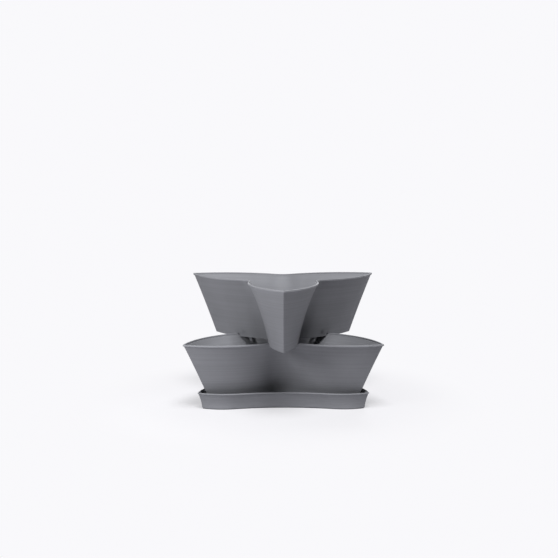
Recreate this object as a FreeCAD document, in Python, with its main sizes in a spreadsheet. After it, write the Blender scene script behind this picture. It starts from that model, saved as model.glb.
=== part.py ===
import FreeCAD, Part
import math
import os
import Sketcher
from FreeCAD import Placement, Rotation, Vector

# Vertical planter tower: two stacked three-lobed planting tiers in a matching saucer.
# Each lobe is a pointed leaf in plan, creased at its tip and joined to the next by a hollow valley.
# Units are millimetres. The origin is the centre of the saucer's underside, +Z is up, and the
# front of the tower, where the upper tier's single lobe points, looks along -Y.

SIZES = [
    # Outline of a tier at its rim, half way up and at its base
    ("rim_reach", 293.0, "centre to the sharp tip of a lobe at the rim"),
    ("rim_valley", 107.0, "centre to the wall between two lobes at the rim"),
    ("rim_side", 200.0, "radius of a lobe's bowed side at the rim"),
    ("rim_hollow", 105.0, "radius of the hollow between two lobes at the rim"),
    ("middle_reach", 254.0, "centre to the sharp tip of a lobe half way up"),
    ("middle_valley", 74.0, "centre to the wall between two lobes half way up"),
    ("middle_side", 224.0, "radius of a lobe's bowed side half way up"),
    ("middle_hollow", 76.0, "radius of the hollow between two lobes half way up"),
    ("base_reach", 218.0, "centre to the sharp tip of a lobe at the base"),
    ("base_valley", 50.0, "centre to the wall between two lobes at the base"),
    ("base_side", 250.0, "radius of a lobe's bowed side at the base"),
    ("base_hollow", 48.0, "radius of the hollow between two lobes at the base"),
    # Walls and heights of a tier
    ("tier_height", 162.0, "base edge to rim"),
    ("wall", 3.0, "wall thickness of a tier"),
    ("tip_round", 2.2, "outer rounding of the crease at a tip"),
    ("inner_tip_round", 1.6, "inner rounding of the crease at a tip"),
    ("lip_height", 4.0, "height of the upright lip at the rim"),
    ("lip_proud", 0.8, "how far the lip stands out of the wall's rim outline"),
    ("rim_round", 1.0, "rounding of the top edges of a rim"),
    # Floor of a tier, and the seat under it that drops over the rim of the tier below
    ("seat_depth", 8.0, "base edge to the underside of the floor"),
    ("tier_floor", 3.0, "floor thickness of a tier"),
    ("seat_clearance", 0.8, "play between a rim and the slots that drop over it"),
    ("rib_width", 2.4, "thickness of the ribs and the ring under the floor"),
    ("rib_lift", 1.5, "base edge to the underside of the ribs"),
    ("rib_gap", 23.0, "sharp tip of the base to the outer end of a rib"),
    ("hub_radius", 19.0, "outer radius of the ring under the middle of the floor"),
    # Drain holes of a tier
    ("drain_diameter", 8.0, "diameter of a drain hole"),
    ("drain_first", 38.0, "centre to the first pair of drain holes"),
    ("drain_pitch", 26.0, "from one pair of drain holes to the next"),
    ("drain_spread", 15.0, "middle line of a lobe to a drain hole"),
    # Saucer
    ("saucer_rim_reach", 254.0, "centre to the sharp tip at the saucer's rim"),
    ("saucer_rim_valley", 125.0, "centre to the valley at the saucer's rim"),
    ("saucer_rim_side", 160.0, "radius of a bowed side at the saucer's rim"),
    ("saucer_rim_hollow", 500.0, "radius of the hollow at the saucer's rim"),
    ("saucer_middle_reach", 246.0, "centre to the sharp tip half way up the saucer"),
    ("saucer_middle_valley", 118.0, "centre to the valley half way up the saucer"),
    ("saucer_middle_side", 139.0, "radius of a bowed side half way up the saucer"),
    ("saucer_middle_hollow", 520.0, "radius of the hollow half way up the saucer"),
    ("saucer_base_reach", 242.0, "centre to the sharp tip at the saucer's base"),
    ("saucer_base_valley", 115.0, "centre to the valley at the saucer's base"),
    ("saucer_base_side", 118.0, "radius of a bowed side at the saucer's base"),
    ("saucer_base_hollow", 540.0, "radius of the hollow at the saucer's base"),
    ("saucer_height", 43.0, "ground to the saucer's rim"),
    ("saucer_lip", 3.0, "height of the upright edge at the saucer's rim"),
    ("saucer_wall", 3.0, "wall thickness of the saucer"),
    ("saucer_floor", 3.0, "floor thickness of the saucer"),
    ("foot_height", 2.5, "height of the foot under the saucer"),
    ("foot_inset", 2.0, "how far the foot is set in from the saucer's base"),
    ("foot_width", 7.0, "width of the foot"),
    # Seat of the lower tier in the saucer
    ("ledge_height", 4.0, "saucer's floor to the base edge of the lower tier"),
    ("ledge_width", 8.0, "how far the ledge reaches inwards from the lower tier's base edge"),
    ("kerb_height", 4.0, "height of the kerb above the ledge"),
    ("kerb_width", 2.4, "thickness of the kerb"),
    ("kerb_clearance", 1.2, "play between the kerb and the lower tier"),
    ("water_gap", 26.0, "width of the gaps that let water through the ledge and the kerb"),
    ("gap_overrun", 5.0, "how far the cut of a gap runs past the ledge and the kerb"),
]

LOBES = 3
LOBE_TURN = 360.0 / LOBES
DRAIN_PAIRS = 3
BACK = 90.0
START, END, CENTRE = 1, 2, 3


class Size:
    """A length that carries both its number and the formula that ties it to the size sheet."""

    def __init__(self, number, formula):
        self.number = number
        self.formula = formula

    def __add__(self, other):
        other = as_size(other)
        return Size(self.number + other.number, "(%s + %s)" % (self.formula, other.formula))

    def __sub__(self, other):
        other = as_size(other)
        return Size(self.number - other.number, "(%s - %s)" % (self.formula, other.formula))

    def __mul__(self, other):
        other = as_size(other)
        return Size(self.number * other.number, "%s * %s" % (self.formula, other.formula))

    def __truediv__(self, other):
        other = as_size(other)
        return Size(self.number / other.number, "%s / %s" % (self.formula, other.formula))

    def __neg__(self):
        return as_size(0) - self


def as_size(value):
    """A plain number becomes a size of its own."""
    return value if isinstance(value, Size) else Size(float(value), repr(float(value)))


BOTTOM, MIDDLE, TOP = as_size(0), as_size(0.5), as_size(1)

def make_sheet(doc):
    """The size sheet, with one named cell for every driving size."""
    sheet = doc.addObject("Spreadsheet::Sheet", "Sizes")
    named = {}
    for row, (name, number, meaning) in enumerate(SIZES, start=1):
        sheet.set("A%d" % row, name)
        sheet.set("B%d" % row, str(number))
        sheet.set("C%d" % row, meaning)
        sheet.setAlias("B%d" % row, name)
        named[name] = Size(number, "Sizes." + name)
    return named


class Outline:
    """The three-lobed outline of one level: its four sizes, and how far it is grown outwards."""

    def __init__(self, reach, valley, side, hollow, grow=0.0):
        self.reach = as_size(reach)
        self.valley = as_size(valley)
        self.side = as_size(side)
        self.hollow = as_size(hollow)
        self.grow = as_size(grow)

    def grown(self, amount):
        """The same outline moved outwards by an amount, or inwards by a negative one."""
        return Outline(self.reach, self.valley, self.side, self.hollow, self.grow + amount)

    def half_lobe(self, tip_round):
        """Arc centres and joints of half a lobe that points along +X.

        They are the centres of the side, the hollow and the tip's rounding, the joint of the side
        with the hollow, and the joint of the side with the rounding.
        """
        side = self.side.number
        hollow = self.hollow.number
        grow = self.grow.number
        sharp_tip = Vector(self.reach.number, 0, 0)
        half_turn = math.radians(LOBE_TURN / 2)
        outwards = Vector(math.cos(half_turn), math.sin(half_turn), 0)
        hollow_centre = outwards * (self.valley.number + hollow)
        span = hollow_centre - sharp_tip
        gap = span.Length
        span.normalize()
        along = (side ** 2 - (side + hollow) ** 2 + gap ** 2) / (2 * gap)
        across = math.sqrt(side ** 2 - along ** 2)
        side_centre = sharp_tip + span * along + Vector(-span.y, span.x, 0) * across
        share = (side + grow) / (side + hollow)
        hollow_joint = side_centre + (hollow_centre - side_centre) * share
        inner = side + grow - tip_round
        round_centre = Vector(side_centre.x + math.sqrt(inner ** 2 - side_centre.y ** 2), 0, 0)
        tip_joint = side_centre + (round_centre - side_centre) * ((side + grow) / inner)
        return side_centre, hollow_centre, round_centre, hollow_joint, tip_joint


def outline_at(wall, share):
    """The outline at a share of a wall's height, where a wall is its base, middle and rim outlines.

    Each size follows the parabola over the height that passes through its three values.
    """
    share = as_size(share)
    weights = [
        (TOP - share) * (TOP - share * 2),
        share * 4 * (TOP - share),
        share * (share * 2 - TOP),
    ]
    mixed = []
    for name in ("reach", "valley", "side", "hollow"):
        terms = [getattr(level, name) * weight for level, weight in zip(wall, weights)]
        mixed.append(terms[0] + terms[1] + terms[2])
    return Outline(*mixed)


def named_wall(size, prefix=""):
    """The base, middle and rim outlines whose sizes start with a prefix."""
    wall = []
    for level in ("base", "middle", "rim"):
        names = ["%s%s_%s" % (prefix, level, word) for word in ("reach", "valley", "side", "hollow")]
        wall.append(Outline(*[size[name] for name in names]))
    return wall


def origin_feature(body, role):
    """One of the body's own origin planes or axes."""
    return [item for item in body.Origin.OriginFeatures if item.Role == role][0]


def new_sketch(body, name, height):
    """An empty sketch in a level plane of the body, at the given height."""
    sketch = body.newObject("Sketcher::SketchObject", name)
    sketch.AttachmentSupport = [(origin_feature(body, "XY_Plane"), "")]
    sketch.MapMode = "FlatFace"
    height = as_size(height)
    sketch.AttachmentOffset = Placement(Vector(0, 0, height.number), Rotation())
    sketch.setExpression("AttachmentOffset.Base.z", height.formula)
    return sketch


def constrain(sketch, *constraint):
    """Add one constraint without a size."""
    sketch.addConstraint(Sketcher.Constraint(*constraint))


def dimension(sketch, name, *constraint):
    """Add one named constraint whose last value is a size, and bind it to that size."""
    size = as_size(constraint[-1])
    index = sketch.addConstraint(Sketcher.Constraint(*constraint[:-1], size.number))
    sketch.renameConstraint(index, name)
    sketch.setExpression("Constraints." + name, size.formula)


def arc(centre, start, end):
    """An anticlockwise arc about a centre from one point to another."""
    circle = Part.Circle(centre, Vector(0, 0, 1), (start - centre).Length)
    return Part.ArcOfCircle(circle, circle.parameter(start), circle.parameter(end))


def draw_outline(sketch, outline, tip_round, heading=BACK, prefix=""):
    """Draw a three-lobed outline with one lobe at a heading, and dimension it in full."""
    half = outline.half_lobe(tip_round.number)
    side_centre, hollow_centre, round_centre, hollow_joint, tip_joint = half

    def placed(point, lobe, mirror=1):
        turn = Rotation(Vector(0, 0, 1), heading + lobe * LOBE_TURN)
        return turn.multVec(Vector(point.x, mirror * point.y, 0))

    rights, tips, lefts, hollows, axes, spokes = [], [], [], [], [], []
    for lobe in range(LOBES):
        right_joint = placed(tip_joint, lobe, -1)
        left_joint = placed(tip_joint, lobe)
        right_turn = placed(hollow_joint, lobe, -1)
        left_turn = placed(hollow_joint, lobe)
        next_turn = placed(hollow_joint, lobe + 1, -1)
        right = arc(placed(side_centre, lobe, -1), right_turn, right_joint)
        rights.append(sketch.addGeometry(right))
        tips.append(sketch.addGeometry(arc(placed(round_centre, lobe), right_joint, left_joint)))
        lefts.append(sketch.addGeometry(arc(placed(side_centre, lobe), left_joint, left_turn)))
        hollows.append(sketch.addGeometry(arc(placed(hollow_centre, lobe), next_turn, left_turn)))
        sharp_tip = placed(Vector(outline.reach.number, 0, 0), lobe)
        axis = Part.LineSegment(Vector(0, 0, 0), sharp_tip)
        spoke = Part.LineSegment(Vector(0, 0, 0), placed(hollow_centre, lobe))
        axes.append(sketch.addGeometry(axis, True))
        spokes.append(sketch.addGeometry(spoke, True))

    for lobe in range(LOBES):
        constrain(sketch, "Tangent", rights[lobe], END, tips[lobe], START)
        constrain(sketch, "Tangent", tips[lobe], END, lefts[lobe], START)
        constrain(sketch, "Tangent", lefts[lobe], END, hollows[lobe], END)
        constrain(sketch, "Tangent", hollows[lobe], START, rights[(lobe + 1) % LOBES], START)
        constrain(sketch, "Coincident", axes[lobe], START, -1, START)
        constrain(sketch, "Coincident", spokes[lobe], START, -1, START)
        constrain(sketch, "Coincident", spokes[lobe], END, hollows[lobe], CENTRE)
        turned = math.radians(heading + lobe * LOBE_TURN)
        constrain(sketch, "Angle", axes[lobe], turned)
        constrain(sketch, "Angle", spokes[lobe], turned + math.radians(LOBE_TURN / 2))
        constrain(sketch, "Equal", lefts[lobe], rights[0])
        for group in (axes, spokes, hollows, tips, rights):
            if lobe:
                constrain(sketch, "Equal", group[lobe], group[0])
        for name, sides in (("left", lefts), ("right", rights)):
            dimension(sketch, "%s%s_side_%d" % (prefix, name, lobe), "Distance",
                      sides[lobe], CENTRE, axes[lobe], END, outline.side)
    reach_to_hollow = outline.valley + outline.hollow
    dimension(sketch, prefix + "reach", "Distance", axes[0], outline.reach)
    dimension(sketch, prefix + "hollow_centre", "Distance", spokes[0], reach_to_hollow)
    dimension(sketch, prefix + "hollow_radius", "Radius", hollows[0], outline.hollow - outline.grow)
    dimension(sketch, prefix + "side_radius", "Radius", rights[0], outline.side + outline.grow)
    dimension(sketch, prefix + "tip_radius", "Radius", tips[0], tip_round)


def draw_bar(sketch, near, far, width, heading=BACK):
    """Draw a straight bar that runs out from the centre at a heading, which is 90 or 270."""
    way = 1 if heading == BACK else -1
    low, high = sorted((way * near.number, way * far.number))
    half = width.number / 2
    corners = [Vector(-half, low, 0), Vector(half, low, 0), Vector(half, high, 0), Vector(-half, high, 0)]
    sides = []
    for index, corner in enumerate(corners):
        sides.append(sketch.addGeometry(Part.LineSegment(corner, corners[(index + 1) % 4])))
    for index, side in enumerate(sides):
        constrain(sketch, "Coincident", side, END, sides[(index + 1) % 4], START)
    bottom, right, top, left = sides
    constrain(sketch, "Vertical", right)
    constrain(sketch, "Symmetric", bottom, START, bottom, END, -2)
    constrain(sketch, "Symmetric", top, START, top, END, -2)
    dimension(sketch, "width", "DistanceX", bottom, START, bottom, END, width)
    if way > 0:
        dimension(sketch, "near", "DistanceY", -1, START, bottom, START, near)
        dimension(sketch, "far", "DistanceY", -1, START, top, START, far)
    else:
        dimension(sketch, "near", "DistanceY", top, START, -1, START, near)
        dimension(sketch, "far", "DistanceY", bottom, START, -1, START, far)


def loft(body, name, sections, cut=False):
    """Add or cut a smooth loft through the sections, from the lowest one up."""
    kind = "PartDesign::SubtractiveLoft" if cut else "PartDesign::AdditiveLoft"
    feature = body.newObject(kind, name)
    feature.Profile = sections[0]
    feature.Sections = sections[1:]
    feature.Ruled = False
    return feature


def pad(body, name, sketch, length):
    """Raise a sketch upwards into a solid."""
    feature = body.newObject("PartDesign::Pad", name)
    feature.Profile = sketch
    feature.Length = length.number
    feature.setExpression("Length", length.formula)
    return feature


def pocket(body, name, sketch, length):
    """Cut upwards from a sketch."""
    feature = body.newObject("PartDesign::Pocket", name)
    feature.Profile = sketch
    feature.Reversed = True
    feature.Length = length.number
    feature.setExpression("Length", length.formula)
    return feature


def around(body, name, feature):
    """Repeat a feature at every lobe."""
    pattern = body.newObject("PartDesign::PolarPattern", name)
    pattern.Originals = [feature]
    pattern.Axis = (origin_feature(body, "Z_Axis"), [""])
    pattern.Angle = 360
    pattern.Occurrences = LOBES
    body.Tip = pattern
    return pattern


def round_edges_at(doc, body, name, height, radius):
    """Round all edges that lie level at a height."""
    doc.recompute()
    base = body.Tip
    names = []
    for index, edge in enumerate(base.Shape.Edges, start=1):
        box = edge.BoundBox
        if abs(box.ZMin - height.number) < 1e-4 and abs(box.ZMax - height.number) < 1e-4:
            names.append("Edge%d" % index)
    feature = body.newObject("PartDesign::Fillet", name)
    feature.Base = (base, names)
    feature.Radius = radius.number
    feature.setExpression("Radius", radius.formula)
    return feature


def wall_sections(body, name, wall, shares, start, rise, grow, tip_round):
    """Sketches of a wall's outline at shares of its rise above a start height, from the lowest up."""
    sketches = []
    for step, share in enumerate(shares):
        sketch = new_sketch(body, "%s_%s_%d" % (body.Label, name, step), rise * share + start)
        draw_outline(sketch, outline_at(wall, share).grown(grow), tip_round)
        sketches.append(sketch)
    return sketches


def make_tier(doc, size, label, height, turn):
    """One planting tier: walls, lip, floor, ribs, seat slots and drain holes."""
    body = doc.addObject("PartDesign::Body", label)
    body.Label = label
    wall = named_wall(size)
    rim = wall[-1]
    tall = size["tier_height"]
    lip_start = tall - size["lip_height"]
    outer_round, inner_round = size["tip_round"], size["inner_tip_round"]

    def sections(name, shares, grow, tip_round):
        return wall_sections(body, name, wall, shares, 0, tall, grow, tip_round)

    # Outer form, and an upright lip at the rim
    loft(body, label + "_form", sections("outer", (BOTTOM, MIDDLE, TOP), 0, outer_round))
    lip = new_sketch(body, label + "_lip_outline", lip_start)
    draw_outline(lip, rim.grown(size["lip_proud"]), outer_round)
    pad(body, label + "_lip", lip, size["lip_height"])

    # Hollow above the floor, and the shallow one under it that leaves a skirt
    floor_share = (size["seat_depth"] + size["tier_floor"]) / tall
    lip_share = lip_start / tall
    shares = (floor_share, (floor_share + lip_share) / 2, lip_share)
    loft(body, label + "_hollow", sections("inner", shares, -size["wall"], inner_round), cut=True)
    mouth = new_sketch(body, label + "_mouth_outline", lip_start)
    draw_outline(mouth, rim.grown(-size["wall"]), inner_round)
    pocket(body, label + "_mouth", mouth, size["lip_height"])
    shares = (BOTTOM, size["seat_depth"] / tall)
    loft(body, label + "_underside", sections("under", shares, -size["wall"], inner_round), cut=True)

    # Ribs along the lobes and a ring under the middle of the floor
    rib_height = size["seat_depth"] - size["rib_lift"]
    rib_start = size["hub_radius"] - size["rib_width"] / 2
    rib_end = size["base_reach"] - size["rib_gap"]
    rib = new_sketch(body, label + "_rib_outline", size["rib_lift"])
    draw_bar(rib, rib_start, rib_end, size["rib_width"])
    around(body, label + "_ribs", pad(body, label + "_rib", rib, rib_height))
    ring = new_sketch(body, label + "_ring_outline", size["rib_lift"])
    draw_circle(ring, "outer", size["hub_radius"] * 2)
    draw_circle(ring, "inner", (size["hub_radius"] - size["rib_width"]) * 2)
    body.Tip = pad(body, label + "_ring", ring, rib_height)

    # Slots in the skirt and ribs, where the rim of a tier turned half a lobe passes under the floor
    seat = new_sketch(body, label + "_seat_outline", 0)
    half_lobe = BACK + LOBE_TURN / 2
    clearance = size["seat_clearance"]
    under_rim = outline_at(wall, (tall - size["seat_depth"]) / tall)
    draw_outline(seat, rim.grown(size["lip_proud"] + clearance), outer_round, half_lobe, "outer_")
    draw_outline(seat, under_rim.grown(-(size["wall"] + clearance)), inner_round, half_lobe, "inner_")
    body.Tip = pocket(body, label + "_seat", seat, size["seat_depth"])

    # Drain holes in pairs along each lobe, all inside the rim of the tier below
    drains = new_sketch(body, label + "_drain_outline", size["seat_depth"])
    for pair in range(DRAIN_PAIRS):
        for side in (-1, 1):
            place = (size["drain_spread"] * side, size["drain_first"] + size["drain_pitch"] * pair)
            draw_circle(drains, "drain_%d_%s" % (pair, "left" if side < 0 else "right"),
                        size["drain_diameter"], place)
    drain = pocket(body, label + "_drain", drains, size["tier_floor"])
    around(body, label + "_drains", drain)

    round_edges_at(doc, body, label + "_rim_round", tall, size["rim_round"])
    body.Placement = Placement(Vector(0, 0, height.number), Rotation(Vector(0, 0, 1), turn))
    body.setExpression("Placement.Base.z", height.formula)
    return body


def draw_circle(sketch, name, diameter, place=None):
    """Draw a circle at the centre, or at a place given by two sizes."""
    x, y = (place[0].number, place[1].number) if place else (0, 0)
    circle = Part.Circle(Vector(x, y, 0), Vector(0, 0, 1), diameter.number / 2)
    index = sketch.addGeometry(circle)
    dimension(sketch, name + "_diameter", "Diameter", index, diameter)
    if place is None:
        constrain(sketch, "Coincident", index, CENTRE, -1, START)
        return
    dimension(sketch, name + "_across", "DistanceX", -1, START, index, CENTRE, place[0])
    dimension(sketch, name + "_along", "DistanceY", -1, START, index, CENTRE, place[1])


def make_saucer(doc, size, label):
    """The saucer: foot, flared wall, floor, and the ledge and kerb that seat the lower tier."""
    body = doc.addObject("PartDesign::Body", label)
    body.Label = label
    wall = named_wall(size, "saucer_")
    base, rim = wall[0], wall[-1]
    foot_top = size["foot_height"]
    floor_top = foot_top + size["saucer_floor"]
    flare = size["saucer_height"] - foot_top
    lip_start = size["saucer_height"] - size["saucer_lip"]
    outer_round, inner_round = size["tip_round"], size["inner_tip_round"]

    def sections(name, shares, grow, tip_round):
        return wall_sections(body, name, wall, shares, foot_top, flare, grow, tip_round)

    # Flared wall with an upright edge, on a foot that is set in, with a recess inside the foot
    loft(body, label + "_form", sections("outer", (BOTTOM, MIDDLE, TOP), 0, outer_round))
    lip = new_sketch(body, label + "_lip_outline", lip_start)
    draw_outline(lip, rim, outer_round)
    pad(body, label + "_lip", lip, size["saucer_lip"])
    foot_outside = base.grown(-size["foot_inset"])
    foot = new_sketch(body, label + "_foot_outline", 0)
    draw_outline(foot, foot_outside, outer_round, prefix="outer_")
    draw_outline(foot, foot_outside.grown(-size["foot_width"]), outer_round, prefix="inner_")
    pad(body, label + "_foot", foot, foot_top)

    # Hollow above the floor
    floor_share = size["saucer_floor"] / flare
    lip_share = (lip_start - foot_top) / flare
    shares = (floor_share, (floor_share + lip_share) / 2, lip_share)
    loft(body, label + "_hollow", sections("inner", shares, -size["saucer_wall"], inner_round), cut=True)
    mouth = new_sketch(body, label + "_mouth_outline", lip_start)
    draw_outline(mouth, rim.grown(-size["saucer_wall"]), inner_round)
    pocket(body, label + "_mouth", mouth, size["saucer_lip"])

    # Ledge under the lower tier's base edge, and a kerb round it
    tier_wall = named_wall(size)
    at_kerb = outline_at(tier_wall, size["kerb_height"] / size["tier_height"]).grown(size["kerb_clearance"])
    kerb_outside = at_kerb.grown(size["kerb_width"])
    ledge = new_sketch(body, label + "_ledge_outline", floor_top)
    draw_outline(ledge, kerb_outside, outer_round, prefix="outer_")
    draw_outline(ledge, tier_wall[0].grown(-size["ledge_width"]), outer_round, prefix="inner_")
    pad(body, label + "_ledge", ledge, size["ledge_height"])
    kerb = new_sketch(body, label + "_kerb_outline", floor_top + size["ledge_height"])
    draw_outline(kerb, kerb_outside, outer_round, prefix="outer_")
    draw_outline(kerb, at_kerb, outer_round, prefix="inner_")
    pad(body, label + "_kerb", kerb, size["kerb_height"])

    # Gaps through the ledge and the kerb, one in each valley
    gap_start = size["base_valley"] - size["ledge_width"] - size["gap_overrun"]
    gap_end = kerb_outside.valley + kerb_outside.grow + size["gap_overrun"]
    gap = new_sketch(body, label + "_gap_outline", floor_top)
    draw_bar(gap, gap_start, gap_end, size["water_gap"], -BACK)
    cut = pocket(body, label + "_gap", gap, size["ledge_height"] + size["kerb_height"])
    around(body, label + "_gaps", cut)

    round_edges_at(doc, body, label + "_rim_round", size["saucer_height"], size["rim_round"])
    return body


def check(doc, bodies):
    """Stop if any object failed, or if a body is not one valid solid."""
    for item in doc.Objects:
        if "Invalid" in item.State or "Error" in item.State:
            raise RuntimeError("%s did not build: %s" % (item.Name, item.State))
    for body in bodies:
        shape = body.Shape
        if shape.isNull() or not shape.isValid() or len(shape.Solids) != 1:
            raise RuntimeError("%s is not one valid solid" % body.Label)


def main():
    doc = FreeCAD.newDocument("planter_tower")
    size = make_sheet(doc)
    doc.recompute()
    lower_height = size["foot_height"] + size["saucer_floor"] + size["ledge_height"]
    upper_height = lower_height + size["tier_height"] - size["seat_depth"]
    bodies = [
        make_saucer(doc, size, "saucer_tray"),
        make_tier(doc, size, "lower_tier", lower_height, 0),
        make_tier(doc, size, "upper_tier", upper_height, 180),
    ]
    doc.recompute()
    check(doc, bodies)
    os.makedirs("parts", exist_ok=True)
    for body in bodies:
        body.Shape.exportStep("parts/%s.step" % body.Label)
        box = body.Shape.BoundBox
        print(body.Label, "volume", round(body.Shape.Volume), "faces", len(body.Shape.Faces), box)


main()
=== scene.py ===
import math

import bpy
import numpy
from mathutils import Matrix, Vector


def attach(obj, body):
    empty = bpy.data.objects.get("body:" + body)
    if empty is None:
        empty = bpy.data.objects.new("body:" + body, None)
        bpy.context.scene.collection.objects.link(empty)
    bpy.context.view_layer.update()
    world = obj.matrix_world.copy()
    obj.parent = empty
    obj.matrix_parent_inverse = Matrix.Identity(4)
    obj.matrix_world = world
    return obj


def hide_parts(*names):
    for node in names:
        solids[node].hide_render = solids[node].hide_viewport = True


# Vertical planter tower of dark moulded plastic: two three-lobed tiers in a matching saucer.
# Everything is in metres. The origin is on the ground under the saucer, +Z is up, -Y is the front.

# The photograph's width in pixels, and the camera that sees the tower from the same place, with its
# sensor in millimetres and its turns in degrees
FRAME_PIXELS = 558
SENSOR = 36.0
FOCAL_PIXELS = 843.8
CAMERA_PLACE = (-0.0132, -2.2495, 0.5593)
CAMERA_YAW = -0.065
CAMERA_PITCH = 6.001
CAMERA_ROLL = 0.123
CAMERA_CLIP = (0.05, 100)

# A tier's plan at its base, middle and rim: how far the tips, and the hollows between the lobes, are
# from the axis, and the radii of the lobes' sides and of the hollows
TIER_PLANS = (
    {"reach": 0.218, "valley": 0.05, "side": 0.25, "hollow": 0.048},
    {"reach": 0.254, "valley": 0.074, "side": 0.224, "hollow": 0.076},
    {"reach": 0.293, "valley": 0.107, "side": 0.2, "hollow": 0.105},
)
LOBE = math.radians(120)

# The way that each tier's single lobe points: the lower one's to the back, the upper one's to the front
LOWER_TIP = math.radians(90)
UPPER_TIP = math.radians(-90)

# Towards the rim the lobes are fuller than in the frame and meet in tighter hollows: what the radius of
# their sides gains at the rim, what that of the hollows loses, and the power of the height at which
# this comes
SIDE_MORE = 0.042
HOLLOW_LESS = 0.07
FULLNESS = 2.7

# The seat slots in the skirt slide along it and widen, to stay over the rim below. A slot's place and
# slide are along a lobe's middle and off it. The slide is whole within the first distance of the
# slot's middle and below the first height over the tier's foot, and fades out to the second
SLOT = (0.1108, 0.037)
SLOT_HALF = 0.0046
SLOT_SLIDE = (0.0101, -0.0016)
SLOT_WIDEN = 0.36
SLIDE_ALONG = (0.007, 0.03)
SLIDE_ACROSS = (0.006, 0.009)
SLIDE_HEIGHT = (0.0082, 0.014)

# The small step by which points are tried, to find how the surface turns around them
NUDGE = 0.0001

# Look of the moulded plastic. Scales are in waves to the metre, a span is where a change of tone starts
# and ends, and the top shade is painted shade: how much of the tone is left on what faces up
PLASTIC = (0.196, 0.1995, 0.216)
CLOUD_SCALE = 9.0
CLOUD_DETAIL = 3.0
CLOUD_SPAN = (0.35, 0.7)
CLOUD_GAIN = 1.08
STREAK_SCALE = (2.5, 2.5, 520.0)
STREAK_DETAIL = 2.0
STREAK_SPAN = (0.35, 0.65)
STREAK_GAIN = 1.09
GRAIN_SCALE = 1400.0
GRAIN_DETAIL = 2.0
GRAIN_STRENGTH = 0.25
GRAIN_DEPTH = 0.0003
# Painted shade: what faces up keeps only this share of its tone, over this span of the normal's height
TOP_SHADE = 0.72
TOP_SHADE_SPAN = (0.15, 0.75)
ROUGHNESS = 0.62
SPECULAR = 0.15

# Studio: a near white sweep, a faint sky, a floor that the camera sees glow by half near the tower and
# wholly farther off, a broad lamp overhead in front, a small one near on the left, and a fill behind.
# A lamp's turn and height are in degrees
SWEEP = (0.948, 0.944, 0.967)
SKY = (0.03, 0.03, 0.03)
FLOOR = (0.457, 0.454, 0.472)
FLOOR_REACH = 40.0
FLOOR_FADE = (0.24, 0.55)
FLOOR_GLOW = 0.5
LAMP_AIM = (0, 0, 0.15)
OVERHEAD = {"turn": 8, "height": 66, "away": 4, "size": 1.6, "power": 270}
SIDE = {"turn": -46, "height": 24, "away": 0.9, "size": 0.25, "power": 3.8}
BEHIND = {"turn": 165, "height": 40, "away": 2.4, "size": 1.2, "power": 30}


def plan_at(share, fuller):
    """A tier's plan at shares of its height, by the parabola through its three, fuller if asked."""
    weights = ((1 - share) * (1 - 2 * share), 4 * share * (1 - share), share * (2 * share - 1))
    plan = {}
    for key in TIER_PLANS[0]:
        plan[key] = sum(weight * level[key] for weight, level in zip(weights, TIER_PLANS))
    if fuller:
        plan["side"] = plan["side"] + SIDE_MORE * share ** FULLNESS
        plan["hollow"] = plan["hollow"] - HOLLOW_LESS * share ** FULLNESS
    return plan


def wall_radius(plan, turn):
    """Distance of the wall from the axis, at turns from 0 on a tip to 60 degrees in a hollow."""
    # The hollow is an arc around a point between two lobes, and the side is an arc through the tip that
    # touches it
    side, hollow = plan["side"], plan["hollow"]
    hollow_x = (plan["valley"] + hollow) * math.cos(LOBE / 2)
    hollow_y = (plan["valley"] + hollow) * math.sin(LOBE / 2)
    apart_x = hollow_x - plan["reach"]
    apart = numpy.hypot(apart_x, hollow_y)
    along = (side ** 2 - (side + hollow) ** 2 + apart ** 2) / (2 * apart)
    off = numpy.sqrt(side ** 2 - along ** 2)
    side_x = plan["reach"] + (apart_x * along - hollow_y * off) / apart
    side_y = (hollow_y * along + apart_x * off) / apart
    part = side / (side + hollow)
    joint_x = side_x + (hollow_x - side_x) * part
    joint_y = side_y + (hollow_y - side_y) * part

    # A ray from the axis at this turn meets one or the other
    in_hollow = turn > numpy.arctan2(joint_y, joint_x)
    centre_x = numpy.where(in_hollow, hollow_x, side_x)
    centre_y = numpy.where(in_hollow, hollow_y, side_y)
    radius = numpy.where(in_hollow, hollow, side)
    nearest = numpy.cos(turn) * centre_x + numpy.sin(turn) * centre_y
    chord = numpy.sqrt(nearest ** 2 - centre_x ** 2 - centre_y ** 2 + radius ** 2)
    return nearest + numpy.where(in_hollow, -chord, chord)


def fade(value, full, none):
    """One up to the first value, zero from the second, and a smooth step between them."""
    share = numpy.clip((value - full) / (none - full), 0, 1)
    return 1 - share ** 2 * (3 - 2 * share)


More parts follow.
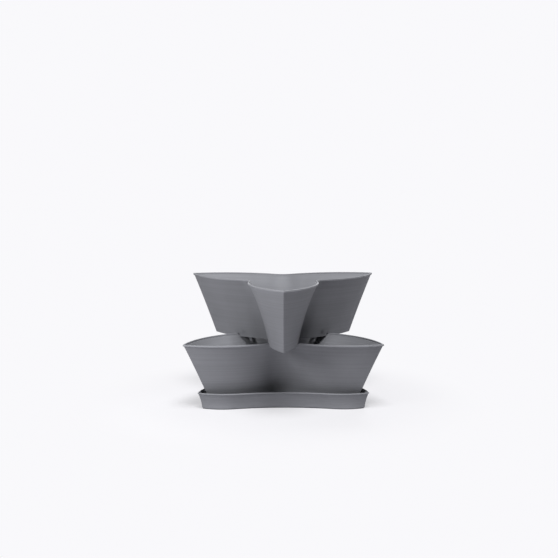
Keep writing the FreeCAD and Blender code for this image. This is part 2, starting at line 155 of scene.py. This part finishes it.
def fill_out(points, low, high, tip_turn):
    """A tier's points moved to where its wall and its seat slots are with fuller lobes."""
    # Where a point is in the nearest lobe: along the lobe's middle, and off it to either side
    turn = numpy.arctan2(points[:, 1], points[:, 0]) - tip_turn
    turn = turn - LOBE * numpy.round(turn / LOBE)
    distance = numpy.hypot(points[:, 0], points[:, 1])
    along = distance * numpy.cos(turn)
    across = distance * numpy.abs(numpy.sin(turn))

    # The slots slide and widen
    slide = fade(points[:, 2] - low, *SLIDE_HEIGHT)
    slide = slide * fade(numpy.abs(along - SLOT[0]), *SLIDE_ALONG)
    slide = slide * fade(numpy.abs(across - SLOT[1]), *SLIDE_ACROSS)
    widen = SLOT_WIDEN * numpy.clip(along - SLOT[0], -SLOT_HALF, SLOT_HALF)
    along = along + slide * (SLOT_SLIDE[0] + widen)
    across = across + slide * SLOT_SLIDE[1]

    # Every point goes out or in by the same share as the wall there
    distance = numpy.hypot(along, across)
    new_turn = numpy.arctan2(across, along)
    share = numpy.clip((points[:, 2] - low) / (high - low), 0, 1)
    full_wall = wall_radius(plan_at(share, True), new_turn)
    frame_wall = wall_radius(plan_at(share, False), new_turn)
    distance = distance * full_wall / frame_wall
    middle = numpy.arctan2(points[:, 1], points[:, 0]) - turn
    heading = middle + numpy.where(turn < 0, -new_turn, new_turn)
    return numpy.stack([distance * numpy.cos(heading), distance * numpy.sin(heading), points[:, 2]], 1)


def full_tier(node, name, body, tip_turn):
    """A tier as the photograph shows it: the frame's own, with lobes that are fuller at the rim."""
    mesh = node.data.copy()
    mesh.name = name
    points = numpy.empty(3 * len(mesh.vertices))
    mesh.vertices.foreach_get("co", points)
    points = points.reshape(-1, 3)
    corner = numpy.empty(len(mesh.loops), dtype=numpy.int32)
    mesh.loops.foreach_get("vertex_index", corner)
    normals = numpy.empty(3 * len(mesh.loops))
    mesh.corner_normals.foreach_get("vector", normals)
    low, high = points[:, 2].min(), points[:, 2].max()

    # The shading normals turn as the surface does when its points move
    moved = fill_out(points, low, high, tip_turn)
    steps = [fill_out(points + NUDGE * axis, low, high, tip_turn) - moved for axis in numpy.eye(3)]
    stretch = numpy.stack(steps, 2) / NUDGE
    turned = numpy.einsum("nji,nj->ni", numpy.linalg.inv(stretch)[corner], normals.reshape(-1, 3))
    turned = turned / numpy.linalg.norm(turned, axis=1)[:, None]

    mesh.vertices.foreach_set("co", moved.ravel())
    mesh.normals_split_custom_set(turned.tolist())
    tier = bpy.data.objects.new(name, mesh)
    bpy.context.scene.collection.objects.link(tier)
    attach(tier, body)
    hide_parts(node.name)
    return tier


def empty_tree(owner):
    """The nodes and links of a material or world, with every node removed."""
    owner.use_nodes = True
    owner.node_tree.nodes.clear()
    return owner.node_tree.nodes, owner.node_tree.links


def noise(nodes, links, vector, scale, detail):
    """A noise texture over the given vector."""
    node = nodes.new("ShaderNodeTexNoise")
    node.inputs["Scale"].default_value = scale
    node.inputs["Detail"].default_value = detail
    links.new(vector, node.inputs["Vector"])
    return node.outputs["Fac"]


def grey(level):
    """A grey of the given level."""
    return (level, level, level)


def ramp(nodes, links, value, span, start, end):
    """A colour ramp from one colour to another over a span of values."""
    node = nodes.new("ShaderNodeValToRGB")
    first, last = node.color_ramp.elements
    first.position, first.color = span[0], (*start, 1)
    last.position, last.color = span[1], (*end, 1)
    links.new(value, node.inputs["Fac"])
    return node.outputs["Color"]


def multiply(nodes, links, first, second):
    """Two colours multiplied."""
    node = nodes.new("ShaderNodeMix")
    node.data_type = "RGBA"
    node.blend_type = "MULTIPLY"
    node.inputs["Factor"].default_value = 1.0
    links.new(first, node.inputs["A"])
    links.new(second, node.inputs["B"])
    return node.outputs["Result"]


def moulded_plastic(name):
    """Matte dark plastic: soft clouds of tone, faint level streaks, painted shade on what faces up and
    a fine grain.
    """
    material = bpy.data.materials.new(name)
    nodes, links = empty_tree(material)
    output = nodes.new("ShaderNodeOutputMaterial")
    shader = nodes.new("ShaderNodeBsdfPrincipled")
    links.new(shader.outputs["BSDF"], output.inputs["Surface"])
    place = nodes.new("ShaderNodeTexCoord").outputs["Object"]

    clouds = noise(nodes, links, place, CLOUD_SCALE, CLOUD_DETAIL)
    lighter = [channel * CLOUD_GAIN for channel in PLASTIC]
    tone = ramp(nodes, links, clouds, CLOUD_SPAN, PLASTIC, lighter)
    stretched = nodes.new("ShaderNodeMapping")
    stretched.inputs["Scale"].default_value = STREAK_SCALE
    links.new(place, stretched.inputs["Vector"])
    lines = noise(nodes, links, stretched.outputs["Vector"], 1.0, STREAK_DETAIL)
    streak = ramp(nodes, links, lines, STREAK_SPAN, grey(1 / STREAK_GAIN), grey(1.0))
    # Painted shade: surfaces that face up are darkened, standing in for shade on the tops and rims
    normal = nodes.new("ShaderNodeSeparateXYZ")
    links.new(nodes.new("ShaderNodeTexCoord").outputs["Normal"], normal.inputs["Vector"])
    painted_top_shade = ramp(nodes, links, normal.outputs["Z"], TOP_SHADE_SPAN, grey(1.0), grey(TOP_SHADE))
    tone = multiply(nodes, links, tone, painted_top_shade)
    links.new(multiply(nodes, links, tone, streak), shader.inputs["Base Color"])

    grain = noise(nodes, links, place, GRAIN_SCALE, GRAIN_DETAIL)
    bump = nodes.new("ShaderNodeBump")
    bump.inputs["Strength"].default_value = GRAIN_STRENGTH
    bump.inputs["Distance"].default_value = GRAIN_DEPTH
    links.new(grain, bump.inputs["Height"])
    links.new(bump.outputs["Normal"], shader.inputs["Normal"])
    shader.inputs["Roughness"].default_value = ROUGHNESS
    shader.inputs["Specular IOR Level"].default_value = SPECULAR
    return material


def camera_ray(nodes, links, *others):
    """One where a ray comes from the camera, or is of one of the other kinds, and zero elsewhere."""
    path = nodes.new("ShaderNodeLightPath")
    seen = path.outputs["Is Camera Ray"]
    for ray in others:
        either = nodes.new("ShaderNodeMath")
        either.operation = "MAXIMUM"
        links.new(seen, either.inputs[0])
        links.new(path.outputs[ray], either.inputs[1])
        seen = either.outputs["Value"]
    return seen


def make_floor():
    """A pale floor that keeps the tower's shadow, faint, and fades into the sweep farther off."""
    mesh = bpy.data.meshes.new("floor")
    signs = ((-1, -1), (1, -1), (1, 1), (-1, 1))
    corners = [(x * FLOOR_REACH, y * FLOOR_REACH, 0) for x, y in signs]
    mesh.from_pydata(corners, [], [(0, 1, 2, 3)])
    floor = bpy.data.objects.new("floor", mesh)
    bpy.context.scene.collection.objects.link(floor)
    material = bpy.data.materials.new("floor")
    nodes, links = empty_tree(material)
    output = nodes.new("ShaderNodeOutputMaterial")
    lit = nodes.new("ShaderNodeBsdfDiffuse")
    lit.inputs["Color"].default_value = (*FLOOR, 1)
    glow = nodes.new("ShaderNodeEmission")
    glow.inputs["Color"].default_value = (*SWEEP, 1)
    place = nodes.new("ShaderNodeTexCoord")
    distance = nodes.new("ShaderNodeVectorMath")
    distance.operation = "LENGTH"
    links.new(place.outputs["Object"], distance.inputs[0])
    glowing = nodes.new("ShaderNodeMapRange")
    glowing.interpolation_type = "SMOOTHSTEP"
    glowing.inputs["From Min"].default_value = FLOOR_FADE[0]
    glowing.inputs["From Max"].default_value = FLOOR_FADE[1]
    glowing.inputs["To Min"].default_value = FLOOR_GLOW
    links.new(distance.outputs["Value"], glowing.inputs["Value"])
    share = nodes.new("ShaderNodeMath")
    share.operation = "MULTIPLY"
    links.new(glowing.outputs["Result"], share.inputs[0])
    links.new(camera_ray(nodes, links), share.inputs[1])
    mix = nodes.new("ShaderNodeMixShader")
    links.new(share.outputs["Value"], mix.inputs["Fac"])
    links.new(lit.outputs["BSDF"], mix.inputs[1])
    links.new(glow.outputs["Emission"], mix.inputs[2])
    links.new(mix.outputs["Shader"], output.inputs["Surface"])
    mesh.materials.append(material)


def make_world():
    """A faint even light from all around, and a near white sweep behind the tower."""
    world = bpy.data.worlds.new("studio")
    bpy.context.scene.world = world
    nodes, links = empty_tree(world)
    output = nodes.new("ShaderNodeOutputWorld")
    mix = nodes.new("ShaderNodeMixShader")
    for socket, colour in ((mix.inputs[1], SKY), (mix.inputs[2], SWEEP)):
        light = nodes.new("ShaderNodeBackground")
        light.inputs["Color"].default_value = (*colour, 1)
        links.new(light.outputs["Background"], socket)
    links.new(camera_ray(nodes, links, "Is Glossy Ray", "Is Transmission Ray"), mix.inputs["Fac"])
    links.new(mix.outputs["Shader"], output.inputs["Surface"])


def area_lamp(name, turn, height, away, size, power):
    """A soft square lamp, turned from the front and raised by angles in degrees, aimed at the tower."""
    lamp = bpy.data.lights.new(name, "AREA")
    lamp.shape = "SQUARE"
    lamp.size = size
    lamp.energy = power
    light = bpy.data.objects.new(name, lamp)
    bpy.context.scene.collection.objects.link(light)
    turn, height = math.radians(turn), math.radians(height)
    level = away * math.cos(height)
    offset = Vector((level * math.sin(turn), -level * math.cos(turn), away * math.sin(height)))
    light.location = Vector(LAMP_AIM) + offset
    light.rotation_euler = (-offset).to_track_quat("-Z", "Y").to_euler()


def make_camera():
    """The camera at the photograph's viewpoint."""
    data = bpy.data.cameras.new("camera")
    data.sensor_fit = "HORIZONTAL"
    data.sensor_width = SENSOR
    data.lens = FOCAL_PIXELS / FRAME_PIXELS * SENSOR
    data.clip_start, data.clip_end = CAMERA_CLIP
    camera = bpy.data.objects.new("camera", data)
    bpy.context.scene.collection.objects.link(camera)
    turn = Matrix.Rotation(math.radians(CAMERA_YAW), 4, "Z")
    tilt = Matrix.Rotation(math.radians(90 - CAMERA_PITCH), 4, "X")
    roll = Matrix.Rotation(math.radians(-CAMERA_ROLL), 4, "Z")
    camera.matrix_world = Matrix.Translation(CAMERA_PLACE) @ turn @ tilt @ roll
    bpy.context.scene.camera = camera


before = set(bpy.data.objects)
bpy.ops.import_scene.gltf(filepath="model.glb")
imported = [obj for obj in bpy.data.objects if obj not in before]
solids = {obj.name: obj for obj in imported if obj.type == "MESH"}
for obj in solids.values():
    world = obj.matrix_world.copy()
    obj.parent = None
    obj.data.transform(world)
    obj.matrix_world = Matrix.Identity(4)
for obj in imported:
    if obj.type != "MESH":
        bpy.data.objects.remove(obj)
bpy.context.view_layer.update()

plastic = moulded_plastic("charcoal_plastic")
pieces = [
    solids["saucer_tray"],
    full_tier(solids["lower_tier"], "lower_planter", "lower", LOWER_TIP),
    full_tier(solids["upper_tier"], "upper_planter", "upper", UPPER_TIP),
]
for piece in pieces:
    piece.data.materials.clear()
    piece.data.materials.append(plastic)

make_floor()
make_world()
area_lamp("overhead", **OVERHEAD)
area_lamp("side", **SIDE)
area_lamp("behind", **BEHIND)
make_camera()
bpy.context.scene.view_settings.view_transform = "Standard"
